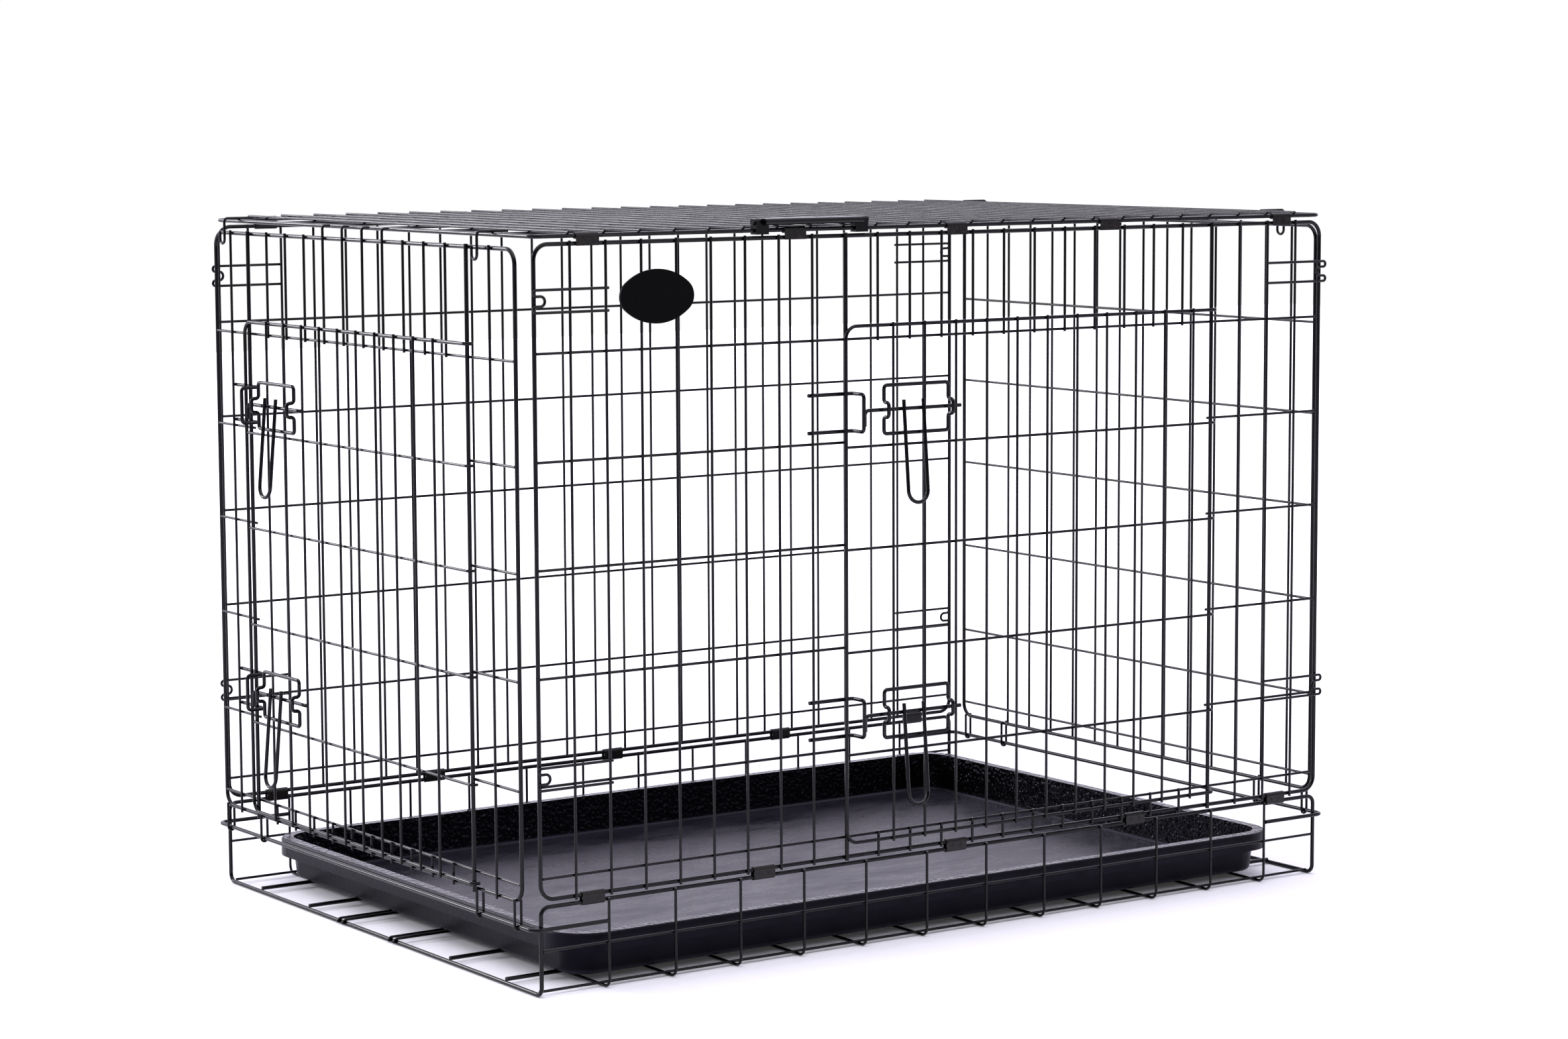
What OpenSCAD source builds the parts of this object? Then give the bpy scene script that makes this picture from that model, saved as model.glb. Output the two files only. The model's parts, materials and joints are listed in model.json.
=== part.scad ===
// Folding wire dog crate: base with a pull-out tray, four folding walls, a lid
// and two doors, each held by a pair of slide bolts.
// X runs along the front from left to right, Y from front to rear, Z up.
// Walls are drawn in their own frame: X along the wall, Y inward, Z up.

/* [Crate] */
// Length of the crate along the front
crate_l = 1067; // [1000:1:1140]
// Width of the crate from front to rear
crate_w = 711; // [680:1:760]
// Height of the long walls' top rails
wall_z = 771; // [740:1:800]
// Height of the base's lip rails
lip_z = 94.4; // [85:0.1:105]
// Height of the long walls' bottom rails above the lip rails
rail_gap = 7.6; // [7.6:0.1:10]
// Height of the lid's frame above the long walls' top rails
lid_gap = 8; // [8:0.1:10]

/* [Wire] */
// Diameter of the heavy wire of frames, rails and doorways
heavy = 4.5; // [4.2:0.1:5]
// Diameter of the thin wire of the grids
thin = 3; // [2.6:0.1:3.4]
// Diameter of the doors' frame wire
door_wire = 4; // [3.6:0.1:4.4]
// Diameter of the wire of bolts, guides and keepers
bolt_wire = 4.2; // [3.8:0.1:4.6]
// Depth to which two welded wires sink into each other
weld = 0.1; // [0.05:0.01:0.2]
// Running clearance of wires that hinge on each other
hinge_fit = 0.1; // [0.05:0.01:0.1]
// Gap between pieces that touch lightly and move apart
rest_fit = 0.3; // [0.2:0.05:0.5]
// Bend radius of the frames' corners
frame_bend = 16; // [12:1:20]
// Bend radius of the base wires
base_bend = 9; // [7:1:12]

/* [Grid] */
// Cells along a long wall
long_cells = 25; // [25:1:25]
// Bays along the base between its cross wires
base_bays = 13; // [13:1:13]
// Cells along an end wall
end_cells = 15; // [15:1:15]
// Heights of the long walls' cross wires
long_rows = [219, 330, 441, 551];
// Height of the front doorway's bottom rail
door_sill_z = 124; // [122:1:132]
// Height of the doorways' top rails in the long walls
door_head_z = 661; // [650:1:670]
// Uprights at the two sides of the front doorway, counted from the left
front_door_cells = [9, 21];
// Spacing of the lid's long wires
lid_pitch = 118; // [110:1:125]
// Distance of the outer floor and lid wires from the long walls
first_runner_y = 76; // [70:1:84]
// Spacing of the two floor wires on each side
runner_pitch = 118; // [110:1:125]
// Distance from the left end to which the pan stops reach
stop_reach = 95; // [85:1:105]

/* [End walls] */
// Distance of the end walls' plane outside the long walls' ends
end_out = 9; // [8.5:0.1:11]
// Inset of the end walls' edges from the long walls' planes
end_inset = 18; // [16:1:22]
// Drop of the end walls' top rails below the long walls' top rails
end_drop = 5; // [4:1:31]
// Height of the end walls' bottom rails
end_low_z = 98; // [95:1:102]
// Height of the end rails, on which the end walls hinge
end_rail_z = 72; // [68:1:76]
// Heights of the end walls' cross wires
end_rows = [213, 326, 437, 546];
// Heights of the left doorway's bottom and top rails
end_sill_z = 116; // [112:1:120]
end_head_z = 653; // [640:1:660]
// Height of the staples above the end walls' top rails
staple_h = 14; // [10:1:18]
// Reach of the staples over the lid
staple_reach = 5.5; // [3:0.5:5.5]
// Bend radius of the staples
staple_bend = 3.5; // [3:0.1:4]

/* [Doors] */
// Overlap of a door over its doorway's top rail
door_lap_top = 14; // [10:1:18]
// Drop of a door's bottom rail below its doorway's sill
door_lap_low = 6; // [5:1:8]
// Overlap of a door past its latch upright
front_lap = 3; // [2:0.5:6]
// Drop of the doors' cross wires below the walls' cross wires
door_drop = 5; // [4.5:0.5:8]
// Spacing of the doors' uprights
door_pitch = 42.2; // [41:0.1:43]
// Distance of a door's first upright from its latch side
first_bar = 60; // [56:1:64]
// Bend radius of the doors' corners
door_bend = 14; // [10:1:18]

/* [Bolts] */
// Heights of the bolts on the front door
front_bolt_z = [256, 585];
// Heights of the bolts on the left door
left_bolt_z = [246, 575];
// Length of a bolt's rod
bolt_l = 128; // [120:1:136]
// Length of the bent tail that locks behind the keeper
bolt_tail = 17; // [15:1:19]
// Gap between a rod and the keeper's upright wire, behind which it slides
latch_fit = 1.2; // [1:0.1:1.6]
// Gap between a tail's end and the keeper's low arm
tail_fit = 3; // [2:0.5:4]
// Bend radius of the tail
bolt_bend = 5; // [4:0.5:7]
// Length of the U handle below the rod
handle_drop = 101; // [90:1:105]
// Spacing of the handle's legs
handle_w = 26; // [22:1:27]
// Distance of the handle's middle from the bolt's bent tail
handle_x = 62; // [58:1:70]
// Height by which the handle's legs stand above the rod
handle_top = 10; // [4:1:12]
// Tilt of the handle away from the door, in degrees
handle_tilt = 5; // [4:0.5:7]
// Width of the bolts' guides
guide_w = 86; // [80:1:92]
// Height of the bolts' guides
guide_h = 52; // [46:1:56]
// Depth by which the guides' sides kink out round the rods
guide_kink = 9; // [8:0.5:12]
// Bend radius of the guides' wire
guide_bend = 3.8; // [3:0.1:4]
// Straight stretch of a guide's kink, in which the rod lies
guide_slot = 8; // [6:0.5:12]
// Height of the keepers
keeper_h = 40; // [34:1:46]
// Length of the keepers' arms from the doorway upright outward
keeper_arm = 46; // [45:1:50]
// Gap between a keeper and its doorway upright
keeper_gap = 7; // [6:0.5:9]
// Bend radius of the keepers
keeper_bend = 4; // [3:0.5:5]

/* [Clips and catches] */
// Length of the sheet clips along the rails
clip_l = 27; // [22:1:30]
// Sheet thickness of the clips
clip_t = 1.2; // [1:0.1:1.6]
// Gap between the lid clips' skirts and the wall's top rail
skirt_fit = 0.9; // [0.6:0.1:0.9]
// Cells that hold the bottom clips
low_clip_cells = [1, 6, 12, 18, 23];
// Cells that hold the top clips
top_clip_cells = [1, 7, 12, 17, 23];
// Heights of the corner catches on the long walls
catch_z = [228, 714];
// Height of a corner catch
catch_h = 23; // [20:1:26]
// Distance by which a catch's eyes reach past the wall's edge
catch_reach = 4; // [3:0.5:4.5]
// Bend radius of a catch's eyes
catch_turn = 3.2; // [2.6:0.1:3.4]
// Depth of the hollow between a catch's two eyes
catch_dip = 13; // [11:0.5:15]
// Length of the hooks' wires inside the lid's end wires
hook_hold = 16; // [12:1:24]
// Depth of the hooks below the end walls' top rails
hook_drop = 12; // [10:0.5:14]
// Width of the hooks
hook_w = 11; // [9:0.5:14]
// Height of the hooks' tips above the end walls' top rails
hook_tip = 2; // [1:0.5:3]
// Bend radius of the hooks where they leave the lid
hook_bend = 4; // [3:0.5:5]
// Height of the hinge eyes' ends above the end walls' bottom rails
eye_rise = 3; // [2:0.5:4]

/* [Tray] */
// Gap between the tray's rim and the planes of the long walls
tray_side = 14.5; // [13:0.5:25.5]
// Gap between the tray's rim and the right end
tray_end = 39; // [23:1:83]
// Height of the tray's rim above the floor
tray_rim_z = 55; // [45:1:60]
// Gap between the tray's rim and the left end
tray_x = 44; // [36:1:60]
// Sheet thickness of the tray
tray_t = 1.6; // [1.2:0.1:2.2]
// Depth of the skirt that hangs from the tray's rim
tray_lip = 20; // [12:1:24]
// Width of the floor strip that the tray's walls stand on
tray_foot = 14; // [10:1:16]
// Width of the tray's rim flange
tray_flange = 11; // [8:1:14]
// Slope of the tray's walls, measured across their height
tray_draft = 9; // [6:1:12]
// Corner radius of the tray's rim
tray_corner = 46; // [36:1:60]

/* [Badge and handle] */
// Width and height of the bare oval plate
badge = [90, 56];
// Thickness of the oval plate
badge_t = 2.5; // [2:0.1:4]
// Place of the plate's centre along the front wall and its height
badge_at = [145, 715];
// Length of the carry handle
grip_l = 148; // [140:1:156]
// Height of the carry handle's grip
grip_h = 7; // [6:0.5:9]
// Width of the carry handle's grip
grip_w = 22; // [18:1:26]
// Length of the carry handle's feet along the lid's front wire
foot_l = 16; // [12:1:20]
// Thickness of the feet in front of and behind the wire
foot_wall = 3; // [2:0.5:3]
// Thickness of the feet below the wire
foot_low = 2; // [1.5:0.1:2.2]
// Cells of the lid that hold the carry handle's feet
grip_cells = [6, 9];

/* [Hidden] */

round_n = 32;
wire_col = [0.09, 0.09, 0.1];
heavy_col = [0.13, 0.13, 0.14];
latch_col = [0.2, 0.2, 0.22];
clip_col = [0.16, 0.15, 0.15];
tray_col = [0.26, 0.25, 0.29];
plastic_col = [0.05, 0.05, 0.06];

hr = heavy / 2;
tr = thin / 2;
dr = door_wire / 2;
br = bolt_wire / 2;

// Layers of a wall, measured inward from its frame's plane
out_y = -(hr + tr - weld);
in_y = out_y + thin - weld;
doorway_y = -(heavy - weld);
catch_y = out_y - thin + weld;

// Layers of a door, whose wires curl round a doorway upright
door_y = doorway_y - hr - hinge_fit - dr;
door_bar_y = door_y - dr - tr + weld;
guide_y = door_bar_y - tr - br + weld;
rod_y = door_bar_y - tr - rest_fit - br;
handle_y = rod_y - bolt_wire - weld / 2;
keeper_y = rod_y - bolt_wire - latch_fit;
arm_y = out_y + tr + br - weld;

hinge_z = lip_z + rail_gap;
lid_z = wall_z + lid_gap;
long_cell = crate_l / long_cells;
bay = crate_l / base_bays;
end_w = crate_w - 2 * end_inset;
end_cell = end_w / end_cells;
end_wire_z = hr;
cross_z = tr;
runner_z = thin + hr - weld;
tray_z = runner_z + hr + rest_fit;
tray_l = crate_l - tray_x - tray_end;
tray_w = crate_w - 2 * tray_side;
end_top_z = wall_z - end_drop;

// Left doorway uprights and eyes, counted in cells from the rear edge
left_door_cells = [2, 13];
eye_cells = [0, 2, 13, 15];
staple_cells = [[6, 7], [8, 9]];
hook_cells = [0.82, 13.6];

function unit(v) = v / norm(v);
function turn(a, b, c) = acos(max(-1, min(1, unit(b - a) * unit(c - b))));
function at(list, i) = is_num(list) ? list : list[i];

// A straight wire from one point to another
module rod(a, b, d) {
    v = b - a;
    translate(a) rotate([0, acos(v.z / norm(v)), atan2(v.y, v.x)])
        cylinder(d = d, h = norm(v), $fn = round_n);
}

// A bend of the wire at corner b, between the directions u and v
module bend(b, u, v, r, d) {
    angle = acos(u * v);
    n = unit(v - u * (u * v));
    p = b - u * r * tan(angle / 2);
    c = p + n * r;
    w = cross(-n, u);
    multmatrix([[-n.x, u.x, w.x, c.x], [-n.y, u.y, w.y, c.y], [-n.z, u.z, w.z, c.z], [0, 0, 0, 1]])
        rotate_extrude(angle = angle, $fn = 4 * round_n) translate([r, 0]) circle(d = d, $fn = round_n);
}

// A wire bent along a list of points, with one bend radius or a list of them
module wire(pts, r, d) {
    n = len(pts);
    cut = [for (i = [0 : n - 1]) i == 0 || i == n - 1 ? 0
        : at(r, i - 1) * tan(turn(pts[i - 1], pts[i], pts[i + 1]) / 2)];
    for (i = [0 : n - 2]) {
        u = unit(pts[i + 1] - pts[i]);
        if (norm(pts[i + 1] - pts[i]) > cut[i] + cut[i + 1] + 0.001)
            rod(pts[i] + u * cut[i], pts[i + 1] - u * cut[i + 1], d);
    }
    for (i = [1 : n - 2])
        bend(pts[i], unit(pts[i] - pts[i - 1]), unit(pts[i + 1] - pts[i]), at(r, i - 1), d);
}

// A wire bent into a closed loop
module ring_wire(pts, r, d) {
    n = len(pts);
    cut = [for (i = [0 : n - 1])
        r * tan(turn(pts[(i + n - 1) % n], pts[i], pts[(i + 1) % n]) / 2)];
    for (i = [0 : n - 1]) {
        a = pts[i];
        b = pts[(i + 1) % n];
        u = unit(b - a);
        rod(a + u * cut[i], b - u * cut[(i + 1) % n], d);
        bend(b, u, unit(pts[(i + 2) % n] - b), r, d);
    }
}

// The four sides of the crate: each child is drawn along X with Y inward
module front_side() translate([-crate_l / 2, -crate_w / 2, 0]) children();
module rear_side() rotate(180) front_side() children();
module left_side() rotate(-90) translate([-crate_w / 2, -crate_l / 2 - end_out, 0]) children();
module right_side() rotate(90) translate([-crate_w / 2, -crate_l / 2 - end_out, 0]) children();

// Rectangle in a wall's plane, from corner to corner
function wall_loop(x0, x1, z0, z1) = [[x0, 0, z0], [x1, 0, z0], [x1, 0, z1], [x0, 0, z1]];

module upright(x, y, z0, z1, d = thin) translate([x, y, z0]) cylinder(d = d, h = z1 - z0, $fn = round_n);
module row(x0, x1, y, z, d = thin) rod([x0, y, z], [x1, y, z], d);

module base_frame() color(heavy_col) front_side() {
    z = end_wire_z;
    ring_wire([[hr, 0, z], [hr, 0, lip_z], [crate_l - hr, 0, lip_z], [crate_l - hr, 0, z],
        [crate_l - hr, crate_w, z], [crate_l - hr, crate_w, lip_z], [hr, crate_w, lip_z],
        [hr, crate_w, z]], base_bend, heavy);
}

module base_cross_wires() color(wire_col) front_side() {
    top = lip_z + tr;
    for (i = [1 : base_bays - 1])
        wire([[i * bay, out_y, top], [i * bay, out_y, cross_z],
            [i * bay, crate_w - out_y, cross_z], [i * bay, crate_w - out_y, top]], base_bend, thin);
}

module base_runners() color(wire_col) front_side() {
    inner = hr * 1.5;
    for (y = [first_runner_y, first_runner_y + runner_pitch,
            crate_w - first_runner_y - runner_pitch, crate_w - first_runner_y])
        row(inner + hr / 2, crate_l - inner - hr / 2, y, runner_z, heavy);
    for (y = [base_bend, crate_w - base_bend])
        row(heavy, crate_l - heavy, y, thin + tr - weld);
    for (y = [in_y, crate_w - in_y])
        row(heavy - 2 * weld, crate_l - heavy + 2 * weld, y, lip_z / 2 + tr);
}

module end_rails() color(heavy_col) for (side = [0, 180]) rotate(side) front_side()
    wire([[bay - tr - weld, doorway_y, end_rail_z], [-end_out, doorway_y, end_rail_z],
        [-end_out, crate_w - doorway_y, end_rail_z],
        [bay - tr - weld, crate_w - doorway_y, end_rail_z]], base_bend, heavy);

// Sheet folded round two rails, one over the other
module clip(x, z, gap, tabs) {
    bore = hr + hinge_fit;
    translate([x - clip_l / 2, 0, z]) rotate([90, 0, 90]) difference() {
        linear_extrude(clip_l) slot_2d(bore + clip_t, gap);
        translate([0, 0, -1]) linear_extrude(clip_l + 2) slot_2d(bore, gap);
    }
    if (tabs) for (s = [-1, 1])
        translate([x + s * clip_l / 5, -bore - clip_t + weld, z + gap / 2]) rotate([90, 0, 0])
            cylinder(d1 = 3.4, d2 = 1.8, h = 0.9, $fn = round_n);
}

// Upright slot: two circles a gap apart and the band between them
module slot_2d(r, gap) {
    circle(r = r, $fn = round_n);
    translate([0, gap]) circle(r = r, $fn = round_n);
    translate([-r, 0]) square([2 * r, gap]);
}

module lip_clips() for (k = low_clip_cells) clip((k + 0.5) * long_cell, lip_z, rail_gap, true);
module front_lip_clips() color(clip_col) front_side() lip_clips();
module rear_lip_clips() color(clip_col) rear_side() lip_clips();

// Wire loop whose two ends hook over the left floor wire
module pan_stop(y) {
    r = hr + hinge_fit / 2 + tr;
    z = end_wire_z + r;
    half = 2 * thin;
    wire([[hr - r, y - half, tr], [hr - r, y - half, z], [stop_reach, y - half, z],
        [stop_reach, y + half, z], [hr - r, y + half, z], [hr - r, y + half, tr]],
        [r, half - 0.01, half - 0.01, r], thin);
}
module pan_stop_front() color(heavy_col) front_side() pan_stop(first_runner_y + 2 * runner_pitch);
module pan_stop_rear() color(heavy_col) front_side() pan_stop(first_runner_y + 3 * runner_pitch);

// Section of the tray's wall: outer side at x = 0, floor at the left, down-turned rim at the right
module tray_section() {
    h = tray_rim_z - tray_z;
    t = tray_t;
    f = tray_flange;
    polygon([[-f - tray_draft - tray_foot, 0], [-f - tray_draft, 0], [-f - tray_draft * 0.72, 2.5],
        [-f - t, h - t], [-t, h - t], [-t, h - tray_lip], [0, h - tray_lip], [0, h - 2], [-1.2, h - 0.4],
        [-2.4, h], [-f - t * 2, h], [-f - tray_draft * 0.72 - t, 3.4], [-f - tray_draft - t, t],
        [-f - tray_draft - tray_foot, t]]);
}

module tray() color(tray_col) front_side()
    translate([tray_x, tray_side, tray_z]) {
        c = tray_corner;
        in = tray_flange + tray_draft + tray_foot - 1;
        for (p = [[c, c, 180], [tray_l - c, c, 270], [tray_l - c, tray_w - c, 0], [c, tray_w - c, 90]])
            translate([p.x, p.y, 0]) {
                rotate(p.z) rotate_extrude(angle = 90, $fn = 4 * round_n) translate([c, 0]) tray_section();
                cylinder(r = c - in, h = tray_t, $fn = round_n);
            }
        for (s = [[tray_l, tray_w - c, 0, tray_w - 2 * c], [c, tray_w, 90, tray_l - 2 * c],
                [0, c, 180, tray_w - 2 * c], [tray_l - c, 0, 270, tray_l - 2 * c]])
            translate([s.x, s.y, 0]) rotate(s.z) rotate([90, 0, 0])
                linear_extrude(s[3]) tray_section();
        translate([c, in]) cube([tray_l - 2 * c, tray_w - 2 * in, tray_t]);
        translate([in, c]) cube([tray_l - 2 * in, tray_w - 2 * c, tray_t]);
    }

// Long wall pieces
module wall_frame() ring_wire(wall_loop(hr, crate_l - hr, hinge_z, wall_z), frame_bend, heavy);

// Corner catches: a wire that runs out, turns back, out again and back, so that its two
// turns stand past the wall's edge as eyes
module catches() for (z = catch_z, s = [0, 1]) {
    x0 = 2 * long_cell + tr;
    tip = hr - catch_reach;
    h = catch_h / 2;
    eye = h - 2 * catch_turn;
    translate([s * crate_l, 0, z]) mirror([s, 0, 0])
        wire([[x0, catch_y, h], [tip, catch_y, h], [tip, catch_y, eye], [tip + catch_dip, catch_y, eye],
            [tip + catch_dip, catch_y, -eye], [tip, catch_y, -eye], [tip, catch_y, -h], [x0, catch_y, -h]],
            [catch_turn - 0.01, catch_turn - 0.01, eye - 0.01, eye - 0.01, catch_turn - 0.01,
            catch_turn - 0.01], thin);
}

module front_frame() color(heavy_col) front_side() wall_frame();

module front_uprights() color(wire_col) front_side() {
    low = hinge_z - hr - 1;
    high = wall_z + hr + 1;
    for (k = [1 : long_cells - 1]) {
        x = k * long_cell;
        if (k < front_door_cells[0] || k > front_door_cells[1]) upright(x, out_y, low, high);
        if (k > front_door_cells[0] && k < front_door_cells[1]) {
            upright(x, out_y, low, door_sill_z + tr + 1);
            upright(x, out_y, door_head_z - tr - 1, high);
        }
    }
}

module front_cross_wires() color(wire_col) front_side() {
    edge = heavy - 2 * weld;
    left = front_door_cells[0] * long_cell;
    right = front_door_cells[1] * long_cell;
    for (z = [door_sill_z, door_head_z]) row(edge, crate_l - edge, in_y, z);
    for (z = long_rows) {
        row(edge, left + hr, in_y, z);
        row(right - hr, crate_l - edge, in_y, z);
    }
}

module front_doorway() color(heavy_col) front_side()
    for (k = front_door_cells)
        upright(k * long_cell, doorway_y, hinge_z - hr - 1, wall_z + hr + 1, heavy);

module front_catches() color(heavy_col) front_side() catches();

// Oval of four arcs: small circles at its ends and two flat ones across it
module oval_2d(w, h, end_r) {
    c = w / 2 - end_r;
    big = (c * c + h * h / 4 - end_r * end_r) / (h - 2 * end_r);
    meet = big * c / (big - end_r);
    for (s = [-1, 1]) translate([s * c, 0]) circle(r = end_r, $fn = round_n);
    intersection() {
        translate([0, big - h / 2]) circle(r = big, $fn = 4 * round_n);
        translate([0, h / 2 - big]) circle(r = big, $fn = 4 * round_n);
        square([2 * meet, h], center = true);
    }
}

module badge_plate() color(plastic_col) front_side()
    translate([badge_at.x, out_y - tr - weld, badge_at.y]) rotate([90, 0, 0])
        linear_extrude(badge_t) oval_2d(badge.x, badge.y, badge.y * 0.32);

// Keeper: a C of wire round the bolt's tail, arms welded behind the wall's uprights
module keeper(x, z) {
    low = z - bolt_tail - br - tail_fit;
    high = low + keeper_h;
    far = x + hr + br + keeper_gap;
    near = x - keeper_arm;
    wire([[near, arm_y, low], [far, arm_y, low], [far, keeper_y, low], [far, keeper_y, high],
        [far, arm_y, high], [near, arm_y, high]], keeper_bend, bolt_wire);
}

module front_keepers() color(latch_col) front_side()
    for (z = front_bolt_z) keeper(front_door_cells[0] * long_cell, z);

// Door pieces, drawn with the latch side at x = 0 and the hinge upright at x = w
module door_frame(w, low, high) {
    r = hr + hinge_fit + dr;
    wire([[w + r - 0.01, door_y + 1.8 * r, low], [w + r - 0.01, door_y, low],
        [0, door_y, low], [0, door_y, high], [w + r - 0.01, door_y, high],
        [w + r - 0.01, door_y + 1.8 * r, high]], [r, door_bend, door_bend, r], door_wire);
}

module door_cross_wires(w, rows) {
    r = hr + hinge_fit + tr;
    y = doorway_y - r;
    for (z = rows) wire([[dr + tr / 2, y, z], [w + r, y, z], [w + r, y + 1.8 * r, z]], r, thin);
}

module door_uprights(first, count, low, high)
    for (i = [0 : count - 1]) upright(first + i * door_pitch, door_bar_y, low - dr - 1, high + dr + 1);

// Guide: closed loop of wire on the door's uprights, its sides kinked out round the rod
module bolt_guide(x, z) {
    h = guide_h / 2;
    k = guide_slot / 2 + guide_bend;
    y2 = guide_y - guide_kink;
    ring_wire([[x, guide_y, z + h], [x, guide_y, z + k], [x, y2, z + k], [x, y2, z - k], [x, guide_y, z - k],
        [x, guide_y, z - h], [x + guide_w, guide_y, z - h], [x + guide_w, guide_y, z - k],
        [x + guide_w, y2, z - k], [x + guide_w, y2, z + k], [x + guide_w, guide_y, z + k],
        [x + guide_w, guide_y, z + h]], guide_bend, bolt_wire);
}

// Slide bolt at rest, just clear of its keeper: rod with a bent tail
module bolt(x, z) {
    wire([[x, rod_y, z - bolt_tail], [x, rod_y, z], [x + bolt_l, rod_y, z]], bolt_bend, bolt_wire);
    a = handle_w / 2;
    translate([x + handle_x, handle_y, z]) rotate([-handle_tilt, 0, 0])
        wire([[-a, 0, handle_top], [-a, 0, -handle_drop], [a, 0, -handle_drop], [a, 0, handle_top]],
            a - 0.01, bolt_wire);
}

// Places of the doors along their walls
front_latch_x = front_door_cells[0] * long_cell - front_lap;
front_door_w = front_door_cells[1] * long_cell - front_latch_x;
front_low = door_sill_z - door_lap_low;
front_high = door_head_z + door_lap_top;
left_latch_x = left_door_cells[0] * end_cell + end_inset - front_lap;
left_door_w = left_door_cells[1] * end_cell + end_inset - left_latch_x;
left_low = end_sill_z - door_lap_low * 2;
left_high = end_head_z + door_lap_top;
keeper_far = front_lap + hr + bolt_wire + keeper_gap;
bolt_x = keeper_far + br + 1;

module front_door_frame() color(heavy_col) front_side() translate([front_latch_x, 0, 0])
    door_frame(front_door_w, front_low, front_high);
module front_door_uprights() color(wire_col) front_side() translate([front_latch_x, 0, 0])
    door_uprights(first_bar, 11, front_low, front_high);
module front_door_cross_wires() color(wire_col) front_side() translate([front_latch_x, 0, 0])
    door_cross_wires(front_door_w, [for (z = long_rows) z - door_drop]);
module front_bolt_guides() color(latch_col) front_side() translate([front_latch_x, 0, 0])
    for (z = front_bolt_z) bolt_guide(first_bar - 15, z);
module front_bolt_lower() color(latch_col) front_side() translate([front_latch_x, 0, 0])
    bolt(bolt_x, front_bolt_z[0]);
module front_bolt_upper() color(latch_col) front_side() translate([front_latch_x, 0, 0])
    bolt(bolt_x, front_bolt_z[1]);

module rear_frame() color(heavy_col) rear_side() wall_frame();
module rear_uprights() color(wire_col) rear_side()
    for (k = [1 : long_cells - 1]) upright(k * long_cell, out_y, hinge_z, wall_z + hr);
module rear_cross_wires() color(wire_col) rear_side()
    for (z = concat([door_sill_z, door_head_z], long_rows))
        row(heavy - 2 * weld, crate_l - heavy + 2 * weld, in_y, z);
module rear_catches() color(heavy_col) rear_side() catches();
module rear_top_clips() color(clip_col) rear_side()
    for (k = top_clip_cells) clip((k + 0.5) * long_cell, wall_z, lid_gap, true);

module lid_frame() color(heavy_col) front_side() translate([0, 0, lid_z])
    ring_wire([[hr, 0, 0], [crate_l - hr, 0, 0], [crate_l - hr, crate_w, 0], [hr, crate_w, 0]],
        base_bend, heavy);
module lid_cross_wires() color(wire_col) front_side() translate([0, 0, lid_z - out_y])
    for (k = [1 : long_cells - 1]) rod([k * long_cell, -hr, 0], [k * long_cell, crate_w, 0], thin);
module lid_long_wires() color(wire_col) front_side() translate([0, 0, lid_z - in_y])
    for (y = [first_runner_y : lid_pitch : crate_w - first_runner_y / 2])
        row(heavy - 2 * weld, crate_l - heavy + 2 * weld, y, 0);

// Hook that hangs from the lid's end wire over the end wall's top rail
module lid_hook(y) {
    top = -out_y;
    x = -end_out + out_y - thin - rest_fit;
    rail = end_top_z - lid_z;
    turn = hook_w / 2 - 0.1;
    wire([[heavy + hook_hold, y, top], [x, y, top], [x, y, rail - hook_drop],
        [x, y + hook_w, rail - hook_drop], [x, y + hook_w, rail + hook_tip]], [hook_bend, turn, turn], thin);
}
module lid_hooks() color(wire_col) for (side = [0, 1]) mirror([side, 0, 0]) front_side()
    translate([0, 0, lid_z]) for (c = hook_cells) lid_hook(crate_w - end_inset - c * end_cell);

// Clip on the lid's front wire with a skirt down the outside of the wall's top rail
module lid_front_clips() color(clip_col) front_side()
    for (k = top_clip_cells) {
        bore = hr + hinge_fit / 2;
        skirt = hr + skirt_fit;
        translate([(k + 0.5) * long_cell - clip_l / 2, 0, lid_z]) rotate([90, 0, 90]) linear_extrude(clip_l) {
            difference() {
                circle(r = bore + clip_t, $fn = round_n);
                circle(r = bore, $fn = round_n);
            }
            translate([-skirt - clip_t, -lid_gap - hr]) square([clip_t, lid_gap + hr]);
        }
    }

module carry_handle() color(plastic_col) front_side() {
    mid = (grip_cells[0] + grip_cells[1] + 1) / 2 * long_cell;
    base = lid_z - out_y + tr + rest_fit;
    for (s = [-1, 1]) translate([mid, 0, base + grip_h / 2]) rotate([0, s * 90, 0])
        cylinder(d = grip_h, h = grip_l / 2, $fn = round_n);
    for (y = [-1, 1]) translate([mid, y * (grip_w - grip_h) / 2, base + grip_h / 2]) rotate([0, 90, 0])
        cylinder(d = grip_h, h = grip_l - grip_w, center = true, $fn = round_n);
    translate([mid - (grip_l - grip_w) / 2, -(grip_w - grip_h) / 2, base])
        cube([grip_l - grip_w, grip_w - grip_h, grip_h]);
    for (k = grip_cells) translate([(k + 0.5) * long_cell, 0, lid_z]) {
        difference() {
            translate([-foot_l / 2, -hr - foot_wall, -hr - foot_low])
                cube([foot_l, heavy + 2 * foot_wall, base - lid_z + hr + foot_low + grip_h / 2]);
            rotate([0, 90, 0]) cylinder(r = hr + hinge_fit / 2, h = 40, center = true, $fn = round_n);
        }
    }
}

// End wall pieces
module end_frame() ring_wire(wall_loop(end_inset, crate_w - end_inset, end_low_z, end_top_z),
    frame_bend, heavy);
function bar_x(k) = end_inset + k * end_cell;

// Pairs of uprights that rise past the top rail and bend over the lid as staples
module staples(low) for (p = staple_cells) {
    z = end_top_z + staple_h;
    wire([[bar_x(p[0]), out_y, low], [bar_x(p[0]), out_y, z], [bar_x(p[0]), staple_reach, z],
        [bar_x(p[1]), staple_reach, z], [bar_x(p[1]), out_y, z], [bar_x(p[1]), out_y, low]],
        staple_bend, thin);
}

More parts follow.
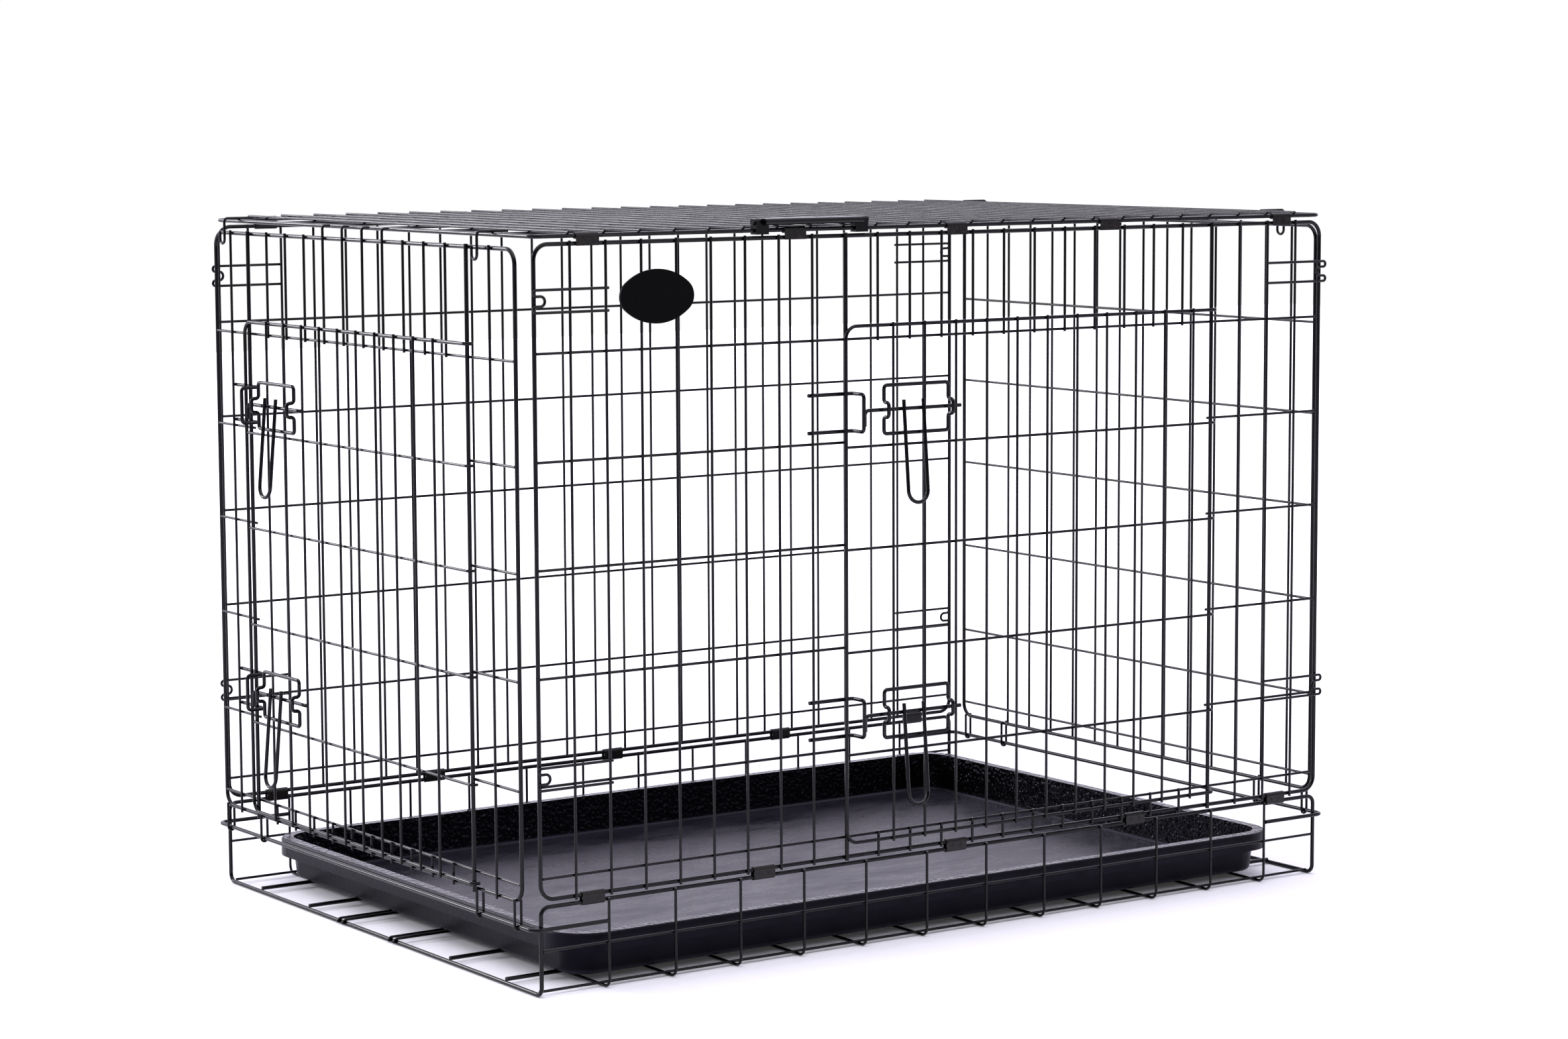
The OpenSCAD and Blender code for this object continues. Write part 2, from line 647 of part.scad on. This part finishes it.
function is_staple(k) = k >= staple_cells[0][0] && k <= staple_cells[1][1];

// Eye of an upright's end, bent round the end rail
module hinge_eye(k) {
    r = hr + hinge_fit + tr;
    inside = k > 0 && k < end_cells;
    x = inside ? bar_x(k) + hr + tr : k == 0 ? end_inset + base_bend : crate_w - end_inset - base_bend;
    wire([[x, -r, end_low_z + eye_rise], [x, -r, end_rail_z - r], [x, r, end_rail_z - r],
        [x, r, end_low_z + eye_rise - 1]], r - 0.005, thin);
}
module hinge_eyes() for (k = eye_cells) hinge_eye(k);

module left_frame() color(heavy_col) left_side() end_frame();
module left_uprights() color(wire_col) left_side() {
    low = end_low_z - hr - 1;
    high = end_top_z + hr + 1;
    for (k = [1 : end_cells - 1]) {
        inside = k > left_door_cells[0] && k < left_door_cells[1];
        door_side = k == left_door_cells[0] || k == left_door_cells[1];
        if (!inside && !door_side) upright(bar_x(k), out_y, low, high);
        if (inside) upright(bar_x(k), out_y, low, end_sill_z + tr + 1);
        if (inside && !is_staple(k)) upright(bar_x(k), out_y, end_head_z - tr - 1, high);
    }
}
module left_cross_wires() color(wire_col) left_side() {
    a = end_inset + hr - 2 * weld;
    b = crate_w - a;
    for (z = [end_sill_z, end_head_z]) row(a, b, in_y, z);
    for (z = end_rows) {
        row(a, bar_x(left_door_cells[0]) + hr, in_y, z);
        row(bar_x(left_door_cells[1]) - hr, b, in_y, z);
    }
}
module left_doorway() color(heavy_col) left_side()
    for (k = left_door_cells) upright(bar_x(k), doorway_y, end_low_z - hr - 1, end_top_z + hr + 1, heavy);
module left_staples() color(wire_col) left_side() staples(end_head_z - tr - 1);
module left_hinge_eyes() color(wire_col) left_side() hinge_eyes();
module left_keepers() color(latch_col) left_side()
    for (z = left_bolt_z) keeper(bar_x(left_door_cells[0]), z);

module left_door_frame() color(heavy_col) left_side() translate([left_latch_x, 0, 0])
    door_frame(left_door_w, left_low, left_high);
module left_door_uprights() color(wire_col) left_side() translate([left_latch_x, 0, 0])
    door_uprights(first_bar, 10, left_low, left_high);
module left_door_cross_wires() color(wire_col) left_side() translate([left_latch_x, 0, 0])
    door_cross_wires(left_door_w, [for (z = end_rows) z - door_drop]);
module left_bolt_guides() color(latch_col) left_side() translate([left_latch_x, 0, 0])
    for (z = left_bolt_z) bolt_guide(first_bar - 15, z);
module left_bolt_lower() color(latch_col) left_side() translate([left_latch_x, 0, 0])
    bolt(bolt_x, left_bolt_z[0]);
module left_bolt_upper() color(latch_col) left_side() translate([left_latch_x, 0, 0])
    bolt(bolt_x, left_bolt_z[1]);

module right_frame() color(heavy_col) right_side() end_frame();
module right_uprights() color(wire_col) right_side()
    for (k = [1 : end_cells - 1]) if (!is_staple(k))
        upright(bar_x(k), out_y, end_low_z - hr - 1, end_top_z + hr + 1);
module right_cross_wires() color(wire_col) right_side()
    for (z = concat([end_sill_z, end_head_z], end_rows))
        row(end_inset + hr - 2 * weld, crate_w - end_inset - hr + 2 * weld, in_y, z);
module right_staples() color(wire_col) right_side() staples(end_low_z);
module right_hinge_eyes() color(wire_col) right_side() hinge_eyes();

base_frame();
base_cross_wires();
base_runners();
end_rails();
front_lip_clips();
rear_lip_clips();
pan_stop_front();
pan_stop_rear();
tray();
front_frame();
front_uprights();
front_cross_wires();
front_doorway();
front_catches();
badge_plate();
front_keepers();
front_door_frame();
front_door_uprights();
front_door_cross_wires();
front_bolt_guides();
front_bolt_lower();
front_bolt_upper();
rear_frame();
rear_uprights();
rear_cross_wires();
rear_catches();
rear_top_clips();
lid_frame();
lid_cross_wires();
lid_long_wires();
lid_hooks();
lid_front_clips();
carry_handle();
left_frame();
left_uprights();
left_cross_wires();
left_doorway();
left_staples();
left_hinge_eyes();
left_keepers();
left_door_frame();
left_door_uprights();
left_door_cross_wires();
left_bolt_guides();
left_bolt_lower();
left_bolt_upper();
right_frame();
right_uprights();
right_cross_wires();
right_staples();
right_hinge_eyes();
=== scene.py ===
import json
import math

import bpy
from mathutils import Matrix, Vector

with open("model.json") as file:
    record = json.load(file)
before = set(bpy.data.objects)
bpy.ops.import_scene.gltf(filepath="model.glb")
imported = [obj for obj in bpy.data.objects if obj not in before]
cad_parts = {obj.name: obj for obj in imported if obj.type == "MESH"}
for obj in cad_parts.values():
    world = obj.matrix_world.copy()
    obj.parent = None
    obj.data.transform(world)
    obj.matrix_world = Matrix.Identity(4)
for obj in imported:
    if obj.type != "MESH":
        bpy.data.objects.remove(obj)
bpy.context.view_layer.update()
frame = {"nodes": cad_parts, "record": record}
scene = bpy.context.scene
scene.view_settings.view_transform = "Standard"
print("frame loaded:", len(frame["nodes"]), "nodes")

mm = 0.001


# sRGB hex to the linear values that the shaders take
def hexLinear(code):
    channels = [int(code[i:i + 2], 16) / 255 for i in (1, 3, 5)]
    linear = [c / 12.92 if c <= 0.04045 else ((c + 0.055) / 1.055) ** 2.4 for c in channels]
    return (*linear, 1.0)


# Adds one node, sets its sockets and properties, and links other nodes' outputs into it
def addNode(tree, kind, settings=None, links=None):
    made = tree.nodes.new(kind)
    for key, value in (settings or {}).items():
        if isinstance(key, int) or key in made.inputs:
            made.inputs[key].default_value = value
        else:
            setattr(made, key, value)
    for socket, source in (links or {}).items():
        tree.links.new(source, made.inputs[socket])
    return made


def startMaterial(name):
    material = bpy.data.materials.new(name)
    material.use_nodes = True
    tree = material.node_tree
    tree.nodes.clear()
    return material, tree


def closeMaterial(tree, shader):
    addNode(tree, "ShaderNodeOutputMaterial", {}, {"Surface": shader.outputs["BSDF"]})


# Mild steel wire, welded and then dipped in a black epoxy coat: a wet-looking black
# with slow waves in the gloss, a fine orange peel, and thin brownish places where the coat
# pulled away. The pitches are estimates: a wire is only 4 to 6 pixels wide in the photograph
wireLook = {
    "coatColour": "#050506", "thinCoatColour": "#221a16", "wavePitch": 22 * mm,
    "peelPitch": 1.6 * mm, "peelStrength": 0.12, "peelDepth": 0.25 * mm, "thinPitch": 9 * mm,
    "thinFrom": 0.72, "thinTo": 0.8, "wetFrom": 0.35, "wetTo": 0.7, "roughness": (0.14, 0.28),
    "shine": 0.24,
}


def epoxyCoatedWire(name, look, thinShare):
    material, tree = startMaterial(name)
    place = addNode(tree, "ShaderNodeTexCoord").outputs["Object"]
    wave = addNode(tree, "ShaderNodeTexNoise", {"Scale": 1 / look["wavePitch"], "Detail": 3.0},
                   {"Vector": place})
    thin = addNode(tree, "ShaderNodeTexNoise", {"Scale": 1 / look["thinPitch"], "Detail": 6.0,
                                                "Roughness": 0.65}, {"Vector": place})
    thinMask = addNode(tree, "ShaderNodeMapRange", {"From Min": look["thinFrom"] - thinShare,
                                                    "From Max": look["thinTo"] - thinShare / 2},
                       {"Value": thin.outputs["Fac"]})
    colour = addNode(tree, "ShaderNodeMix", {"data_type": "RGBA", 6: hexLinear(look["coatColour"]),
                                             7: hexLinear(look["thinCoatColour"])},
                     {0: thinMask.outputs["Result"]})
    low, high = look["roughness"]
    rough = addNode(tree, "ShaderNodeMapRange", {"From Min": look["wetFrom"], "From Max": look["wetTo"],
                                                 "To Min": low, "To Max": high},
                    {"Value": wave.outputs["Fac"]})
    peel = addNode(tree, "ShaderNodeTexNoise", {"Scale": 1 / look["peelPitch"], "Detail": 2.0},
                   {"Vector": place})
    bump = addNode(tree, "ShaderNodeBump", {"Strength": look["peelStrength"],
                                            "Distance": look["peelDepth"]},
                   {"Height": peel.outputs["Fac"]})
    shader = addNode(tree, "ShaderNodeBsdfPrincipled", {"IOR": 1.5, "Specular IOR Level": look["shine"]},
                     {"Base Color": colour.outputs[2], "Roughness": rough.outputs["Result"],
                      "Normal": bump.outputs["Normal"]})
    closeMaterial(tree, shader)
    return material


# Pressed steel strip, cut, folded round the wires and dipped with them: flat faces that
# shine softly, brown where the coat is thin; the grain's pitch is an estimate
clipLook = {
    "coatColour": "#080707", "edgeColour": "#2b211b", "grainPitch": 2.2 * mm, "grainStrength": 0.2,
    "grainDepth": 0.2 * mm, "brownFrom": 0.5, "brownTo": 0.72, "roughness": (0.2, 0.42), "shine": 0.3,
}


def stampedStripClip(name, look):
    material, tree = startMaterial(name)
    place = addNode(tree, "ShaderNodeTexCoord").outputs["Object"]
    grain = addNode(tree, "ShaderNodeTexNoise", {"Scale": 1 / look["grainPitch"], "Detail": 4.0},
                    {"Vector": place})
    brown = addNode(tree, "ShaderNodeMapRange", {"From Min": look["brownFrom"],
                                                 "From Max": look["brownTo"]},
                    {"Value": grain.outputs["Fac"]})
    colour = addNode(tree, "ShaderNodeMix", {"data_type": "RGBA", 6: hexLinear(look["coatColour"]),
                                             7: hexLinear(look["edgeColour"])},
                     {0: brown.outputs["Result"]})
    low, high = look["roughness"]
    rough = addNode(tree, "ShaderNodeMapRange", {"To Min": low, "To Max": high},
                    {"Value": grain.outputs["Fac"]})
    bump = addNode(tree, "ShaderNodeBump", {"Strength": look["grainStrength"],
                                            "Distance": look["grainDepth"]},
                   {"Height": grain.outputs["Fac"]})
    shader = addNode(tree, "ShaderNodeBsdfPrincipled", {"IOR": 1.5, "Specular IOR Level": look["shine"]},
                     {"Base Color": colour.outputs[2], "Roughness": rough.outputs["Result"],
                      "Normal": bump.outputs["Normal"]})
    closeMaterial(tree, shader)
    return material


# Black ABS sheet, vacuum formed over a sandblasted mould. The walls and the rim keep the
# mould's hammered grain and glint in points; the outer skirt stretched away from the mould
# and stayed smooth and black; the floor is scuffed in soft streaks and mirrors the bright
# room. The floor's violet grey base colour, lighter than the walls' black of the same sheet,
# is a painted sheen that stands in for more of that reflection, and its lighter scuff streaks
# are real scuffs with painted sheen in them too. The walls' glints lie about 3 to 4 mm apart
# in the photograph. The floor's pebbles are finer than its pixels show, and are drawn coarser so that they
# show
trayLook = {
    "wallColour": "#050506", "floorPaintedSheenColour": "#17161b", "scuffAndPaintedSheenColour": "#2a2831", "sheenTint": "#bdb6dc",
    "floorTop": 13 * mm, "floorEdge": 2 * mm, "skirtFrom": 0.03, "skirtTo": 0.15,
    "hammerPitch": 4.2 * mm, "hammerDepth": 1.3 * mm, "pebblePitch": 1.9 * mm, "pebbleStrength": 0.12,
    "scuffPitch": 34 * mm, "scuffStretch": 0.35, "scuffFrom": 0.34, "scuffTo": 0.72,
    "floorRoughness": (0.2, 0.42), "wallRoughness": 0.15, "skirtRoughness": 0.4, "shine": 0.16,
}


def vacuumFormedAbs(name, look):
    material, tree = startMaterial(name)
    place = addNode(tree, "ShaderNodeTexCoord").outputs["Object"]
    height = addNode(tree, "ShaderNodeSeparateXYZ", {}, {"Vector": place})
    isWall = addNode(tree, "ShaderNodeMapRange", {"From Min": look["floorTop"] - look["floorEdge"],
                                                  "From Max": look["floorTop"]},
                     {"Value": height.outputs["Z"]}).outputs["Result"]
    flatPlace = addNode(tree, "ShaderNodeVectorMath", {"operation": "MULTIPLY", 1: (1.0, 1.0, 0.0)},
                        {0: place})
    facing = addNode(tree, "ShaderNodeTexCoord").outputs["Normal"]
    outward = addNode(tree, "ShaderNodeVectorMath", {"operation": "DOT_PRODUCT"},
                      {0: flatPlace.outputs["Vector"], 1: facing})
    isSkirt = addNode(tree, "ShaderNodeMapRange", {"From Min": look["skirtFrom"],
                                                   "From Max": look["skirtTo"]},
                      {"Value": outward.outputs["Value"]}).outputs["Result"]
    drawn = addNode(tree, "ShaderNodeMapping", {"Scale": (look["scuffStretch"], 1.0, 1.0)},
                    {"Vector": place})
    scuff = addNode(tree, "ShaderNodeTexNoise", {"Scale": 1 / look["scuffPitch"], "Detail": 8.0,
                                                 "Roughness": 0.7}, {"Vector": drawn.outputs["Vector"]})
    scuffMask = addNode(tree, "ShaderNodeMapRange", {"From Min": look["scuffFrom"],
                                                     "From Max": look["scuffTo"]},
                        {"Value": scuff.outputs["Fac"]}).outputs["Result"]
    # painted sheen: the floor and its scuffs get a lighter violet grey than the walls' black, standing in
    # for the room's reflection
    floorPaintedSheenColour = addNode(tree, "ShaderNodeMix", {"data_type": "RGBA", 6: hexLinear(look["floorPaintedSheenColour"]),
                                                  7: hexLinear(look["scuffAndPaintedSheenColour"])}, {0: scuffMask})
    colour = addNode(tree, "ShaderNodeMix", {"data_type": "RGBA", 7: hexLinear(look["wallColour"])},
                     {0: isWall, 6: floorPaintedSheenColour.outputs[2]})
    hammer = addNode(tree, "ShaderNodeTexVoronoi", {"feature": "SMOOTH_F1",
                                                    "Scale": 1 / look["hammerPitch"]},
                     {"Vector": place})
    pebble = addNode(tree, "ShaderNodeTexNoise", {"Scale": 1 / look["pebblePitch"], "Detail": 3.0},
                     {"Vector": place})
    relief = addNode(tree, "ShaderNodeMix", {}, {0: isWall, 2: pebble.outputs["Fac"],
                                                 3: hammer.outputs["Distance"]})
    hammered = addNode(tree, "ShaderNodeMath", {"operation": "SUBTRACT", "use_clamp": True},
                       {0: isWall, 1: isSkirt})
    depth = addNode(tree, "ShaderNodeMapRange", {"To Min": look["pebbleStrength"], "To Max": 1.0},
                    {"Value": hammered.outputs["Value"]})
    bump = addNode(tree, "ShaderNodeBump", {"Distance": look["hammerDepth"]},
                   {"Height": relief.outputs[0], "Strength": depth.outputs["Result"]})
    low, high = look["floorRoughness"]
    floorRough = addNode(tree, "ShaderNodeMapRange", {"To Min": low, "To Max": high}, {"Value": scuffMask})
    inner = addNode(tree, "ShaderNodeMix", {3: look["wallRoughness"]},
                    {0: isWall, 2: floorRough.outputs["Result"]})
    rough = addNode(tree, "ShaderNodeMix", {3: look["skirtRoughness"]}, {0: isSkirt, 2: inner.outputs[0]})
    shader = addNode(tree, "ShaderNodeBsdfPrincipled", {"IOR": 1.54, "Specular IOR Level": look["shine"],
                                                        "Specular Tint": hexLinear(look["sheenTint"])},
                     {"Base Color": colour.outputs[2], "Roughness": rough.outputs[0],
                      "Normal": bump.outputs["Normal"]})
    closeMaterial(tree, shader)
    return material


# Injection moulded polypropylene: the grip comes from a polished mould and shines in streaks,
# the plate from a spark-eroded one, which leaves a fine grain and a deep flat black. The grain
# is too fine to see in the photograph, and is drawn coarser so that it shows
gripLook = {"colour": "#040405", "grainPitch": 0.9 * mm, "grainStrength": 0.1, "grainDepth": 0.15 * mm,
            "roughness": (0.14, 0.3), "shine": 0.3}
plateLook = {"colour": "#030304", "grainPitch": 0.9 * mm, "grainStrength": 0.15, "grainDepth": 0.15 * mm,
             "roughness": (0.42, 0.58), "shine": 0.06}


def mouldedPolypropylene(name, look):
    material, tree = startMaterial(name)
    place = addNode(tree, "ShaderNodeTexCoord").outputs["Object"]
    grain = addNode(tree, "ShaderNodeTexNoise", {"Scale": 1 / look["grainPitch"], "Detail": 3.0},
                    {"Vector": place})
    low, high = look["roughness"]
    rough = addNode(tree, "ShaderNodeMapRange", {"To Min": low, "To Max": high},
                    {"Value": grain.outputs["Fac"]})
    bump = addNode(tree, "ShaderNodeBump", {"Strength": look["grainStrength"],
                                            "Distance": look["grainDepth"]},
                   {"Height": grain.outputs["Fac"]})
    shader = addNode(tree, "ShaderNodeBsdfPrincipled", {"Base Color": hexLinear(look["colour"]),
                                                        "IOR": 1.49, "Specular IOR Level": look["shine"]},
                     {"Roughness": rough.outputs["Result"], "Normal": bump.outputs["Normal"]})
    closeMaterial(tree, shader)
    return material


gridLook = {**wireLook, "coatColour": "#040405"}
latchLook = {**wireLook, "coatColour": "#060608", "roughness": (0.12, 0.26)}
thinShare = {"heavy": 0.1, "grid": 0.06, "latch": 0.03}  # how much of the coat is thin and brown

heavyWire = epoxyCoatedWire("epoxy coated heavy wire", wireLook, thinShare["heavy"])
gridWire = epoxyCoatedWire("epoxy coated grid wire", gridLook, thinShare["grid"])
latchWire = epoxyCoatedWire("epoxy coated latch wire", latchLook, thinShare["latch"])
clipSteel = stampedStripClip("stamped strip clip", clipLook)
trayAbs = vacuumFormedAbs("vacuum formed tray", trayLook)
gripPlastic = mouldedPolypropylene("moulded grip", gripLook)
platePlastic = mouldedPolypropylene("moulded plate", plateLook)

slotMaterials = {
    "heavy_wire": heavyWire, "grid_wire": gridWire, "latch_wire": latchWire, "clip": clipSteel,
    "tray": trayAbs, "handle": gripPlastic, "badge": platePlastic,
}
for part in frame["record"]["subparts"]:
    obj = frame["nodes"][part["node"]]
    finish = slotMaterials[part["material_slot"]]
    if not obj.material_slots:
        obj.data.materials.append(finish)
    for slot in obj.material_slots:
        slot.material = finish

# The photograph's camera, fitted to the crate's corners in millimetres
cameraView = {
    "place": (-2459.1, -3587.5, 912.0), "azimuth": 34.63, "down": 6.37, "roll": -0.251,
    "focalPixels": 5644.2, "frameWidth": 2367, "sensorWidth": 36.0, "clipEnd": 60.0,
}


def setCamera(view):
    azimuth, down, roll = (math.radians(view[k]) for k in ("azimuth", "down", "roll"))
    ahead = Vector((math.sin(azimuth) * math.cos(down), math.cos(azimuth) * math.cos(down),
                    -math.sin(down)))
    right = ahead.cross(Vector((0, 0, 1))).normalized()
    up = right.cross(ahead)
    turnedRight = math.cos(roll) * right + math.sin(roll) * up
    turnedUp = math.cos(roll) * up - math.sin(roll) * right
    camera = bpy.data.objects.new("camera", bpy.data.cameras.new("camera"))
    scene.collection.objects.link(camera)
    camera.data.sensor_width = view["sensorWidth"]
    camera.data.lens = view["sensorWidth"] * view["focalPixels"] / view["frameWidth"]
    camera.data.clip_end = view["clipEnd"]
    basis = Matrix((turnedRight, turnedUp, -ahead)).transposed().to_4x4()
    camera.matrix_world = Matrix.Translation(Vector(view["place"]) * mm) @ basis
    scene.camera = camera


# Soft studio light: a bright pale room, one wide lamp overhead, two strips that draw long
# highlights along the wires, and a lamp behind that shines along the left wall's cross wires
# and glints on the tray's grained walls
lampLook = {
    "overhead": {"place": (-0.6, -1.2, 3.6), "size": (3.2, 3.2), "power": 66, "aim": (0, 0, 0.3)},
    "leftStrip": {"place": (-3.4, -1.0, 1.6), "size": (0.4, 2.6), "power": 9, "aim": (0, 0, 0.4)},
    "frontStrip": {"place": (1.6, -3.8, 1.9), "size": (0.4, 2.4), "power": 12, "aim": (0, 0, 0.2)},
    "rearLamp": {"place": (-2.4, 3.4, 1.9), "size": (1.3, 1.1), "power": 85, "aim": (-0.3, 0, 0.3)},
}


def addLamps(lamps):
    for name, look in lamps.items():
        data = bpy.data.lights.new(name, "AREA")
        data.shape = "RECTANGLE"
        data.size, data.size_y = look["size"]
        data.energy = look["power"]
        lamp = bpy.data.objects.new(name, data)
        lamp.location = look["place"]
        ahead = Vector(look["aim"]) - Vector(look["place"])
        lamp.rotation_euler = ahead.to_track_quat("-Z", "Y").to_euler()
        scene.collection.objects.link(lamp)


# The room is brightest behind the crate and dark in front; the camera sees it white. The paper
# floor keeps the crate's shadow and fades into white away from it
roomLook = {
    "seen": "#ffffff", "lightColour": "#f1ecff", "brightSide": (0.45, 0.7, 0.55), "darkFrom": -0.35,
    "brightFrom": 0.65, "darkStrength": 0.03, "brightStrength": 1.6, "paperColour": "#f6f6fa",
    "paperReach": 9.0, "paperDrop": 0.2 * mm, "paperGlow": (0.03, 1.0), "glowReach": (1.0, 3.0),
}


def addRoom(look):
    world = bpy.data.worlds.new("studio")
    world.use_nodes = True
    scene.world = world
    tree = world.node_tree
    tree.nodes.clear()
    path = addNode(tree, "ShaderNodeLightPath")
    ray = addNode(tree, "ShaderNodeTexCoord").outputs["Generated"]
    side = addNode(tree, "ShaderNodeVectorMath", {"operation": "DOT_PRODUCT", 1: look["brightSide"]},
                   {0: ray})
    strength = addNode(tree, "ShaderNodeMapRange", {"From Min": look["darkFrom"],
                                                    "From Max": look["brightFrom"],
                                                    "To Min": look["darkStrength"],
                                                    "To Max": look["brightStrength"]},
                       {"Value": side.outputs["Value"]})
    lit = addNode(tree, "ShaderNodeBackground", {"Color": hexLinear(look["lightColour"])},
                  {"Strength": strength.outputs["Result"]})
    seen = addNode(tree, "ShaderNodeBackground", {"Color": hexLinear(look["seen"]), "Strength": 1.0})
    mix = addNode(tree, "ShaderNodeMixShader", {}, {0: path.outputs["Is Camera Ray"],
                                                    1: lit.outputs["Background"],
                                                    2: seen.outputs["Background"]})
    addNode(tree, "ShaderNodeOutputWorld", {}, {"Surface": mix.outputs["Shader"]})

    mesh = bpy.data.meshes.new("paper floor")
    reach = look["paperReach"]
    corners = [(-reach, -reach, 0), (reach, -reach, 0), (reach, reach, 0), (-reach, reach, 0)]
    mesh.from_pydata(corners, [], [(0, 1, 2, 3)])
    floor = bpy.data.objects.new("paper floor", mesh)
    scene.collection.objects.link(floor)
    floor.location.z = -look["paperDrop"]
    material, tree = startMaterial("seamless paper")
    path = addNode(tree, "ShaderNodeLightPath")
    place = addNode(tree, "ShaderNodeTexCoord").outputs["Object"]
    away = addNode(tree, "ShaderNodeVectorMath", {"operation": "LENGTH"}, {0: place})
    near, far = look["glowReach"]
    low, high = look["paperGlow"]
    fade = addNode(tree, "ShaderNodeMapRange", {"From Min": near, "From Max": far,
                                                "To Min": low, "To Max": high},
                   {"Value": away.outputs["Value"]})
    seenGlow = addNode(tree, "ShaderNodeMath", {"operation": "MULTIPLY"},
                       {0: fade.outputs["Result"], 1: path.outputs["Is Camera Ray"]})
    paper = addNode(tree, "ShaderNodeBsdfDiffuse", {"Color": hexLinear(look["paperColour"])})
    glow = addNode(tree, "ShaderNodeEmission", {"Color": hexLinear(look["seen"])},
                   {"Strength": seenGlow.outputs["Value"]})
    both = addNode(tree, "ShaderNodeAddShader", {}, {0: paper.outputs["BSDF"], 1: glow.outputs["Emission"]})
    addNode(tree, "ShaderNodeOutputMaterial", {}, {"Surface": both.outputs["Shader"]})
    mesh.materials.append(material)


setCamera(cameraView)
addLamps(lampLook)
addRoom(roomLook)
print("camera, lamps and room set")
